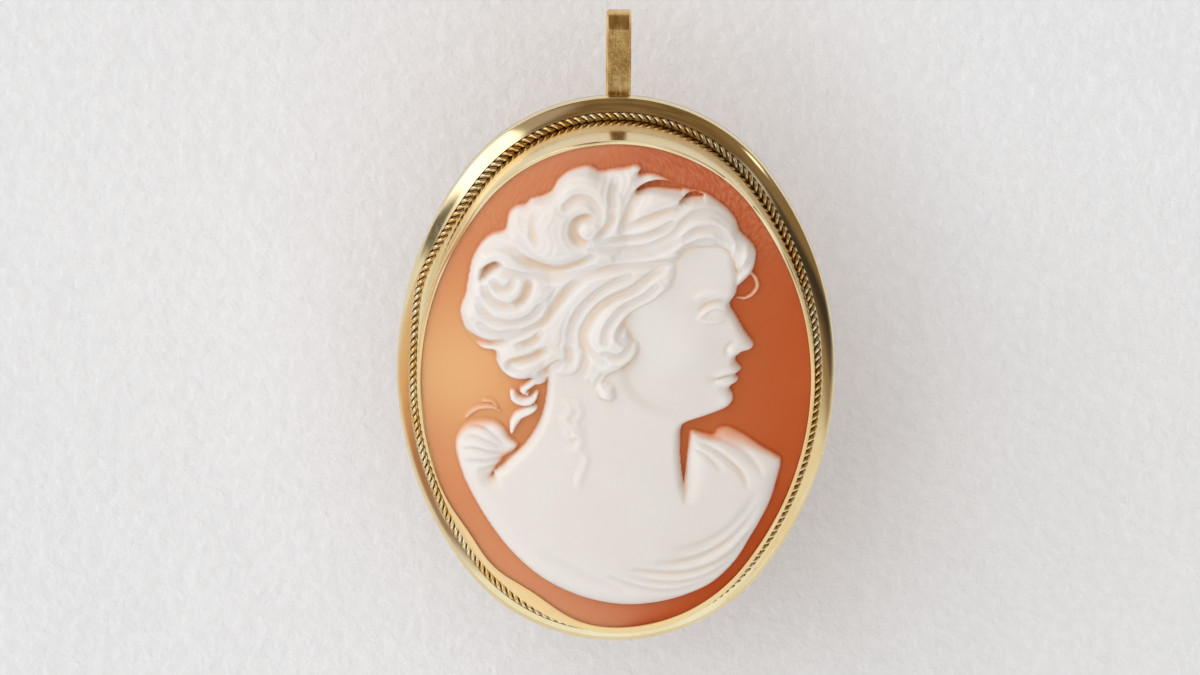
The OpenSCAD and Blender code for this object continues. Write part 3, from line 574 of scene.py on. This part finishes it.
def smooth_path(points, closed=False, pieces=5):
    """A curve through given points."""
    p = np.array(points, float)
    p = np.concatenate([p[-1:], p, p[:2]]) if closed else np.concatenate([p[:1], p, p[-1:]])
    t = np.arange(pieces)[:, None] / pieces
    runs = []
    for a, b, c, d in zip(p, p[1:], p[2:], p[3:]):
        bow, swing = 2 * a - 5 * b + 4 * c - d, 3 * b - a - 3 * c + d
        runs.append(0.5 * (2 * b + (c - a) * t + bow * t ** 2 + swing * t ** 3))
    runs.append(runs[0][:1] if closed else p[-2:-1])
    return np.concatenate(runs)


def path_field(x, y, path):
    """Distance to a path, share of its length, and the side of it, for each point."""
    best, share, side = np.full(x.shape, 1e9), np.zeros(x.shape), np.zeros(x.shape)
    step = np.diff(path, axis=0)
    length = np.hypot(*step.T)
    run = np.concatenate([[0], np.cumsum(length)]) / length.sum()
    for i, (sx, sy) in enumerate(step):
        dx, dy = x - path[i, 0], y - path[i, 1]
        t = np.clip((dx * sx + dy * sy) / length[i] ** 2, 0, 1)
        away = np.hypot(dx - t * sx, dy - t * sy)
        nearer = away < best
        best[nearer] = away[nearer]
        share[nearer] = (run[i] + t * (run[i + 1] - run[i]))[nearer]
        side[nearer] = np.sign(sx * dy - sy * dx)[nearer]
    return best, share, side


def inside_distance(x, y, outline):
    """Distance from a closed outline, positive within it."""
    loop = smooth_path(outline, closed=True, pieces=3)
    away, _, _ = path_field(x, y, loop)
    within = np.zeros(x.shape, bool)
    for (x0, y0), (x1, y1) in zip(loop, loop[1:]):
        if y0 != y1:
            within ^= ((y0 > y) != (y1 > y)) & (x < (x1 - x0) * (y - y0) / (y1 - y0) + x0)
    return np.where(within, away, -away)


def round_edge(away, r):
    """0 at an edge, rising on a quarter circle to 1 at a distance r within it."""
    u = np.clip(away / r, 0, 1)
    return np.sqrt(u * (2 - u))


def ellipse_share(x, y, cx, cy, rx, ry, turn=0.0):
    """0 at the middle of an ellipse and 1 on its edge."""
    c, s = cos(radians(turn)), sin(radians(turn))
    dx, dy = x - cx, y - cy
    return ((dx * c + dy * s) / rx) ** 2 + ((dy * c - dx * s) / ry) ** 2


def engraved(x, y, rows):
    """The sum of soft-sided lines, raised where their height is positive."""
    total = np.zeros(x.shape)
    for height, w, points in rows:
        path = smooth_path(points)
        low, high = path.min(0) - 3 * w, path.max(0) + 3 * w
        near = (x > low[0]) & (x < high[0]) & (y > low[1]) & (y < high[1])
        away, share, _ = path_field(x[near], y[near], path)
        ends = np.clip(np.minimum(share, 1 - share) / 0.22, 0, 1)
        total[near] += height * np.exp(-(away / w) ** 2) * (0.12 + 0.88 * ends ** 0.7)
    return total


def comb(x, y):
    """Signed distance to the nearest valley in the hair, which the strands run along."""
    nearest = np.full(x.shape, 9.0)
    for _, _, points in VALLEYS:
        path = smooth_path(points)
        low, high = path.min(0) - COMB_REACH, path.max(0) + COMB_REACH
        near = np.nonzero((x > low[0]) & (x < high[0]) & (y > low[1]) & (y < high[1]))
        away, _, side = path_field(x[near], y[near], path)
        closer = away < np.abs(nearest[near])
        kept = nearest[near]
        kept[closer] = (away * side)[closer]
        nearest[near] = kept
    return nearest


def carve(x, y, strand):
    """Height of the carving above the orange layer, in mm."""
    hair = inside_distance(x, y, HAIR_EDGE)
    mass = np.full(x.shape, LAYER)
    for cx, cy, rx, ry, turn, height in MASSES:
        rest = np.clip(1 - ellipse_share(x, y, cx, cy, rx, ry, turn), 0, 1)
        mass = np.maximum(mass, 0.55 + (height - 0.35) * rest ** 0.35)
    off = np.abs(strand)
    mass *= 1.04 - 0.2 * np.exp(-off / 0.5)
    mass += 0.045 * np.cos(2 * pi * off / LOCK_WIDTH + 0.5) * np.clip((COMB_REACH - off) / 0.6, 0, 1)
    locks = mass * round_edge(hair, HAIR_ROUND) - VALLEY_DEPTH * engraved(x, y, VALLEYS)
    locks = np.where(hair > 0, np.maximum(locks, 0.12), 0)
    skin = np.full(x.shape, LAYER)
    for height, cx, cy, rx, ry in FORMS:
        skin += height * np.exp(-ellipse_share(x, y, cx, cy, rx, ry))
    skin += engraved(x, y, FACE_LINES) + engraved(x, y, RINGLETS)
    away, _, side = path_field(x, y, smooth_path(JAW))
    below = 1 / (1 + np.exp(np.clip(away * side / 0.22, -30, 30)))
    skin -= 0.38 * below * np.exp(-np.maximum(0, away - 0.2) / 2.6)
    skin *= round_edge(inside_distance(x, y, SKIN_EDGE), SKIN_ROUND)
    chest = inside_distance(x, y, CHEST_EDGE)
    drape = LAYER + 0.5 * np.exp(-ellipse_share(x, y, 1, -11, 9, 6)) - engraved(x, y, FOLDS)
    for share, cx, cy, rx, ry, turn in THIN_DRAPE:
        drape *= 1 - share * np.exp(-ellipse_share(x, y, cx, cy, rx, ry, turn))
    drape *= round_edge(chest, DRAPE_ROUND)
    drape = np.where(chest > 0, np.maximum(drape, 0.08), 0)
    height = np.maximum(np.maximum(locks, skin), drape)
    for level, w, points in STRANDS:
        away, share, _ = path_field(x, y, smooth_path(points))
        thin = w * (0.35 + 0.65 * np.clip(np.minimum(share + 0.12, 1 - share) / 0.3, 0, 1))
        height = np.maximum(height, level * np.sqrt(np.clip(1 - (away / thin) ** 2, 0, 1)))
    for w, cut, points in GAPS:
        away, share, _ = path_field(x, y, smooth_path(points))
        lens = w * (0.25 + 0.75 * np.sin(pi * np.clip(share, 0, 1)))
        rise = np.clip((away - lens * 0.5) / (w * 0.8), 0, 1)
        height *= 1 - cut * (1 - rise * rise * (3 - 2 * rise))
    return height


def half_width(y, w):
    """Half of the oval's width at a height, at a distance outside the opening."""
    joint = END_C + (END_R + w) * sin(JOIN)
    ends = np.sqrt(np.clip((END_R + w) ** 2 - (np.abs(y) - END_C) ** 2, 0, None))
    sides = np.sqrt((SIDE_R + w) ** 2 - y ** 2) - SIDE_C
    return np.where(np.abs(y) > joint, ends, sides)


def cameo_stand(x, y, z):
    """Points on the leaning, bent shell, brought to the hanging pendant."""
    c, s = cos(LEAN), sin(LEAN)
    return stand(np.stack([x, y * c - z * s, y * s + z * c + LIP_HEIGHT], -1))


def bent(x, depth):
    """How far the shell has curved back at x, at a depth behind its front."""
    return np.sqrt((BEND_R - depth) ** 2 - x ** 2) - BEND_R


def blur(field, r):
    """A box blur done twice in each direction."""
    for axis in (0, 1, 0, 1):
        pad = [(r + 1, r) if a == axis else (0, 0) for a in (0, 1)]
        total = np.cumsum(np.pad(field, pad, mode="edge"), axis=axis)
        size = field.shape[axis]
        window = 2 * r + 1
        high, low = (np.take(total, range(k, k + size), axis) for k in (window, 0))
        field = (high - low) / window
    return field


def carved_shell():
    """The carved front and the smooth back, closed at the rim, with what the material needs of each point."""
    rows = np.linspace(-1, 1, GRID_ROWS) * (HALF_H + SHELL_EDGE - END_CUT)
    half = half_width(rows, SHELL_EDGE)
    x = half[:, None] * np.linspace(-1, 1, GRID_COLUMNS)[None, :]
    y = np.repeat(rows[:, None], GRID_COLUMNS, 1)
    strand = comb(x, y - FIGURE_UP)
    height = carve(x, y - FIGURE_UP, strand)
    front = cameo_stand(x, y / cos(LEAN), bent(x, GROUND_FRONT) + height)
    back_x = half[:, None] * np.linspace(-1, 1, BACK_COLUMNS)[None, :]
    back_y = np.repeat(rows[:, None], BACK_COLUMNS, 1)
    back = cameo_stand(back_x, back_y / cos(LEAN), bent(back_x, GROUND_BACK))
    points = np.concatenate([front.reshape(-1, 3), back.reshape(-1, 3)])
    front_at = np.arange(x.size).reshape(x.shape).tolist()
    back_at = (x.size + np.arange(back_x.size).reshape(back_x.shape)).tolist()
    faces = []
    for f, f_next, b, b_next in zip(front_at, front_at[1:], back_at, back_at[1:]):
        faces += zip(f, f[1:], f_next[1:], f_next)
        faces += zip(b, b_next, b_next[1:], b[1:])
        faces.append((f[0], f_next[0], b_next[0], b[0]))
        faces.append((f[-1], b[-1], b_next[-1], f_next[-1]))
    faces.append(tuple(back_at[0] + front_at[0][::-1]))
    faces.append(tuple(front_at[-1] + back_at[-1][::-1]))
    in_hair = inside_distance(x, y - FIGURE_UP, HAIR_EDGE)
    return points, faces, height, strand, np.clip(in_hair / 0.5, 0, 1)


ORANGE, DEEP_ORANGE, RED_CLOUD = (0.68, 0.27, 0.10), (0.49, 0.07, 0.004), (0.56, 0.16, 0.045)
HONEY, HAZE = (0.78, 0.465, 0.21), (0.62, 0.33, 0.22)
THIN_PINK, THIN_PALE, THIN_AND_SHADE_TAN = (0.74, 0.38, 0.24), (0.77, 0.47, 0.34), (0.84, 0.68, 0.51)
WHITE, CREAM, SCRAPED = (0.775, 0.748, 0.725), (0.765, 0.728, 0.694), (0.78, 0.42, 0.22)
# how closely the fine strands follow each other, in radians a mm
STRAND_PACE = 15.7


def shell_material():
    """Orange ground, pink where the white layer runs thin, cream above, with fine strands in the hair."""
    shell = Shader("carved_shell")
    height = shell.attribute("relief")
    cavity = shell.attribute("cavity")
    warm = shell.attribute("warmth")
    cloud = shell.noise(110.0, 4.0, 0.55)
    ground = shell.mix(warm, ORANGE, DEEP_ORANGE)
    ground = shell.mix(cloud.fade(0.42, 0.68) * 0.3, ground, RED_CLOUD)
    ground = shell.mix(shell.attribute("honey"), ground, HONEY)
    ground = shell.mix(shell.attribute("haze") * 0.5, ground, HAZE)
    thin = shell.mix(cloud.fade(0.4, 0.6), THIN_PINK, THIN_PALE)
    cream = shell.mix(cloud.fade(0.38, 0.62), WHITE, CREAM)
    layer = shell.mix(height.fade(0.05, 0.3), ground, thin)
    layer = shell.mix(height.fade(0.22, 0.62), layer, cream)
    # tan in the recesses of the cream parts: partly the thinner white layer, partly painted shade
    layer = shell.mix(cavity.fade(0.02, 0.3) * height.fade(0.2, 0.5) * 0.7, layer, THIN_AND_SHADE_TAN)
    grain = shell.noise(1500.0, 4.0, 0.6)
    shine = 0.16 + height.fade(0.1, 0.5) * 0.26 + grain * 0.08
    wave = ((shell.attribute("strand") + shell.noise(500.0) * 0.25) * STRAND_PACE).math("SINE")
    hairs = wave * shell.attribute("hair") * 0.5
    values = {"X": shell.attribute("arc"), "Y": shell.attribute("inward")}
    around = shell.node("ShaderNodeCombineXYZ", None, values)
    values = {"Vector": around, "Scale": 1.0, "Detail": 3.0, "Roughness": 0.6}
    strokes = shell.node("ShaderNodeTexNoise", None, values)
    strokes = strokes.fade(0.4, 0.62) * shell.attribute("chatter")
    layer = shell.mix(strokes * (1.0 - height.fade(0.05, 0.2)) * 0.26, layer, SCRAPED)
    fine = shell.bump(strokes * 2.0 + grain, 0.1, 0.00004)
    values = {"Height": hairs, "Strength": 0.2, "Distance": 0.0001, "Normal": fine}
    normal = shell.node("ShaderNodeBump", None, values)
    return shell.surface(Base_Color=layer, Roughness=shine, Normal=normal, Subsurface_Weight=0.7,
                         Subsurface_Radius=(1.0, 0.88, 0.8), Subsurface_Scale=0.0012, Specular_IOR_Level=0.13)


# faint tool marks round the top of the ground: how close round it, their slant, how
# close inward; and how many steps of the grid a cut is compared with
MARKS_ROUND, MARK_SLANT, MARKS_INWARD = 95, 26, 24
CUT_STEPS = 5
shell_points, shell_faces, relief, strand, in_hair = carved_shell()
cameo = mesh_object("carved_cameo", shell_points, shell_faces, shell_material())
back_count = GRID_ROWS * BACK_COLUMNS
# how far each point lies below the blurred carving, which sets where the tan of partly painted shade goes
depth_in = np.clip(blur(relief, CUT_STEPS) - relief, 0, None)
columns, rows = np.meshgrid(np.linspace(-1, 1, GRID_COLUMNS), np.linspace(-1, 1, GRID_ROWS))
lower_right = np.clip(columns, 0, 1) * np.clip(-rows, 0, 1)
warmth = np.clip(0.42 + 0.42 * columns + 0.16 * rows ** 2 + 0.12 * rows + 0.3 * lower_right, 0, 1)
reach = np.hypot(rows, columns * np.sqrt(1 - 0.5 * rows ** 2))
chatter = np.clip((rows - 0.45) / 0.25, 0, 1) * np.clip((reach - 0.78) / 0.1, 0, 1)
honey = np.exp(-((columns + 0.8) / 0.38) ** 2 - ((rows - 0.05) / 0.32) ** 2)
haze = 0.4 * rows ** 2 + 0.3 * np.clip(-rows, 0, 1) + 0.3 * np.clip(-columns, 0, 1) - 0.8 * lower_right
fields = {
    "relief": relief, "honey": honey, "haze": np.clip(haze, 0, 1), "cavity": depth_in, "warmth": warmth,
    "strand": strand, "hair": in_hair, "chatter": chatter,
    "arc": np.arctan2(rows, columns) * MARKS_ROUND + MARK_SLANT * reach, "inward": reach * MARKS_INWARD,
}
for label, field in fields.items():
    set_attribute(cameo, label, np.concatenate([field.ravel(), np.zeros(back_count)]))
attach(cameo, "pendant")
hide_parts("cameo_ground", "cameo_figure")

# The bail: a strap of gold folded into a loop, bevelled along both edges and
# soldered to a short tube that turns on the pin between the frame's lugs. Its
# front is worn to fine scratches and dull spots from handling.
BAIL_BROWN, BAIL_GOLD = (0.62, 0.38, 0.12), (0.86, 0.61, 0.26)


def bail_material():
    """Worn gold: fine scratches along the strap over duller, browner patches."""
    metal = Shader("worn_gold")
    streaks = metal.noise(1500.0, 4.0, 0.6, (1.0, 1.0, 0.16))
    patches = metal.noise(520.0, 4.0, 0.6, (1.0, 1.0, 0.6))
    base = metal.mix(patches.fade(0.35, 0.62), BAIL_BROWN, BAIL_GOLD)
    base = metal.mix(streaks.fade(0.54, 0.7) * 0.6, base, PALE_GOLD)
    base = metal.mix(streaks.fade(0.42, 0.3) * 0.6, base, OLD_GOLD)
    shine = 0.2 + patches.fade(0.4, 0.7) * 0.16 + streaks.fade(0.5, 0.7) * 0.12
    normal = metal.bump(patches * 2.0 + streaks * 0.5, 0.5, 0.00012)
    return metal.surface(Base_Color=base, Metallic=1.0, Roughness=shine, Normal=normal)


def dress(node, material):
    """Gives a solid of the frame file its finish."""
    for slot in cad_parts[node].material_slots:
        slot.material = material


dress("bail", bail_material())
dress("hinge_pin", gold_material("pin_gold", GOLD, 0.2, 0.3))

# The stage: a camera in front and a little above, a pale wall behind the pendant,
# soft light from a window at the upper left and from in front, and a plain room
# with pale, warm and dark zones for the gold to mirror.
camera_rise, camera_roll = radians(18.2), radians(0.5)
CAMERA_DISTANCE, PIXELS_A_MM = 450.0, 13.39
IMAGE_W, IMAGE_H, SENSOR = 1200, 675, 36.0
ORIGIN_PIXEL = (615.8, 374.2)
WALL_SIDE, WALL_GAP = 1.6, 0.024
WALL_DARK, WALL_LIGHT = (0.75, 0.771, 0.795), (0.80, 0.821, 0.845)
LAMP_SIDE, DAYLIGHT = 1.8, (0.94, 0.975, 1.0)


def flat_direction(v):
    """A direction of the flat pendant, turned to how it hangs."""
    return Vector(stand(v) - stand((0.0, 0.0, 0.0))).normalized()


aim = stand((0.0, 0.0, 0.0))
view_back = flat_direction((0.0, sin(camera_rise), cos(camera_rise)))
right = flat_direction((1.0, 0.0, 0.0))
up = view_back.cross(right)
turned_right = right * cos(camera_roll) + up * sin(camera_roll)
turned_up = up * cos(camera_roll) - right * sin(camera_roll)
camera_data = bpy.data.cameras.new("camera")
camera_data.sensor_width = SENSOR
camera_data.lens = PIXELS_A_MM * CAMERA_DISTANCE * SENSOR / IMAGE_W
camera_data.shift_x = (IMAGE_W / 2 - ORIGIN_PIXEL[0]) / IMAGE_W
camera_data.shift_y = (ORIGIN_PIXEL[1] - IMAGE_H / 2) / IMAGE_W
camera_data.clip_start = 0.01
camera = bpy.data.objects.new("camera", camera_data)
pose = Matrix((turned_right, turned_up, view_back)).transposed().to_4x4()
pose.translation = Vector(aim) + view_back * (CAMERA_DISTANCE * MM)
camera.matrix_world = pose
bpy.context.scene.collection.objects.link(camera)
bpy.context.scene.camera = camera


def backdrop_material():
    """A pale wall with a faint grain."""
    wall = Shader("pale_wall")
    swell = wall.noise(160.0, 2.0)
    values = {"Vector": wall.place(), "Scale": 900.0, "Detail": 3.0}
    push = wall.node("ShaderNodeTexNoise", None, values, out=1)
    push = wall.node("ShaderNodeVectorMath", {"operation": "SCALE"}, {0: push, "Scale": 0.0016})
    pushed = wall.node("ShaderNodeVectorMath", {"operation": "ADD"}, {0: wall.place(), 1: push})
    values = {"Vector": pushed, "Scale": 620.0}
    cells = wall.node("ShaderNodeTexVoronoi", {"feature": "DISTANCE_TO_EDGE"}, values)
    grain = cells.fade(0.0, 0.5) * 0.25 + wall.noise(900.0, 3.0, 0.55) * 1.2 + swell * 0.6
    base = wall.mix(grain.fade(0.5, 1.6), WALL_DARK, WALL_LIGHT)
    return wall.surface(Base_Color=base, Roughness=0.8, Normal=wall.bump(grain, 0.5, 0.0003))


bpy.ops.object.select_all(action="DESELECT")
bpy.ops.mesh.primitive_plane_add(size=WALL_SIDE, location=(0, 0, 0))
wall = bpy.context.object
wall.name = "backdrop"
wall.data.materials.append(backdrop_material())
behind = Matrix.Translation(Vector(aim) + Vector((0, WALL_GAP, 0)))
wall.matrix_world = behind @ Matrix.Rotation(pi / 2, 4, "X")


def soft_light(name, place, watts):
    """A square of daylight aimed at the pendant, which the gold doesn't mirror."""
    data = bpy.data.lights.new(name, "AREA")
    data.shape, data.size = "SQUARE", LAMP_SIDE
    data.energy, data.color = watts, DAYLIGHT
    lamp = bpy.data.objects.new(name, data)
    lamp.location = place
    lamp.rotation_euler = (Vector(aim) - Vector(place)).to_track_quat("-Z", "Y").to_euler()
    lamp.visible_glossy = False
    bpy.context.scene.collection.objects.link(lamp)


soft_light("window", (-1.1, -1.3, 1.1), 8.8)
soft_light("front_fill", (-0.05, -1.7, 0.35), 15.5)

FLOOR_LIGHT, WALL_PALE = (1.15, 1.25, 1.35), (0.96, 0.97, 0.97)
# each side's lowest colour, and the heights between which it turns to the next ones
LEFT_FOOT, LEFT_ZONES = (0.43, 0.30, 0.23), [
    (-0.7, -0.62, (0.535, 0.26, 0.16)), (-0.6, -0.5, (0.8, 0.44, 0.245)), (-0.5, -0.4, (0.97, 0.63, 0.4)),
    (-0.4, -0.28, (0.9, 0.77, 0.62)), (-0.2, -0.05, (1.1, 1.1, 1.15)),
]
RIGHT_FOOT, RIGHT_ZONES = (1.05, 0.98, 0.85), [
    (-0.58, -0.45, (0.39, 0.27, 0.15)), (-0.42, -0.34, (0.143, 0.092, 0.068)),
    (-0.34, -0.25, (0.06, 0.048, 0.04)), (-0.17, -0.05, (0.29, 0.195, 0.105)),
]
DARK_BROWN, BROWN, DUSK = (0.19, 0.12, 0.06), (0.31, 0.205, 0.105), (0.5, 0.44, 0.4)
WINDOW_GLOW, SHADOW, LAMP_GLOW = (2.5, 2.45, 2.4), (0.13, 0.115, 0.08), (2.0, 1.9, 1.7)
LAMP_WAY = (0.809, -0.481, 0.338)


def room():
    """A pale room, warm low at the left and dark at the right, brown above, with a window at the left."""
    air = Shader("room", bpy.data.worlds, "ShaderNodeOutputWorld")
    way = air.node("ShaderNodeTexCoord", out="Generated")
    x, y, z = (air.node("ShaderNodeSeparateXYZ", None, {"Vector": way}, out=k) for k in range(3))
    leftward = x * -1.0
    front = (y * -1.0).fade(-0.2, 0.3)
    colour = air.mix(z.fade(-0.75, -0.35), FLOOR_LIGHT, WALL_PALE)
    left, right = LEFT_FOOT, RIGHT_FOOT
    for low, high, tint in LEFT_ZONES:
        left = air.mix(z.fade(low, high), left, tint)
    for low, high, tint in RIGHT_ZONES:
        right = air.mix(z.fade(low, high), right, tint)
    patches = air.node("ShaderNodeTexNoise", None, {"Vector": way, "Scale": 5.0, "Detail": 3.0})
    brown = air.mix(patches.fade(0.35, 0.65), DARK_BROWN, BROWN)
    colour = air.mix(leftward.fade(0.32, 0.44) * z.fade(-0.83, -0.74) * front, colour, left)
    colour = air.mix(x.fade(0.3, 0.5) * front, colour, right)
    inward = leftward - z * 0.59
    beside = inward.fade(0.36, 0.3)
    colour = air.mix(z.fade(-0.34, -0.02) * beside * x.fade(0.6, 0.45) * front, colour, brown)
    colour = air.mix(leftward.fade(0.16, 0.36) * beside * z.fade(0, 0.1) * front, colour, DUSK)
    colour = air.mix(z.fade(0.7, 0.92), colour, brown)
    glow = inward.fade(0.3, 0.37) * (x + z * 1.13).fade(-0.72, -0.64) * z.fade(-0.32, -0.2)
    colour = air.mix(glow * front, colour, WINDOW_GLOW)
    slant = z + x * 0.689 + 0.56
    patch = slant.fade(-0.045, -0.02) * slant.fade(0.09, 0.055) * leftward.fade(0.6, 0.7) * front
    colour = air.mix(patch, colour, SHADOW)
    spot = air.node("ShaderNodeVectorMath", {"operation": "DOT_PRODUCT"}, {0: way, 1: LAMP_WAY}, out=1)
    colour = air.mix(spot.fade(0.992, 0.9985), colour, LAMP_GLOW)
    light = air.node("ShaderNodeBackground", None, {"Color": colour, "Strength": 0.8})
    air.tree.links.new(light.out, air.output.inputs["Surface"])
    return air.material


bpy.context.scene.world = room()
bpy.context.scene.view_settings.view_transform = "Standard"
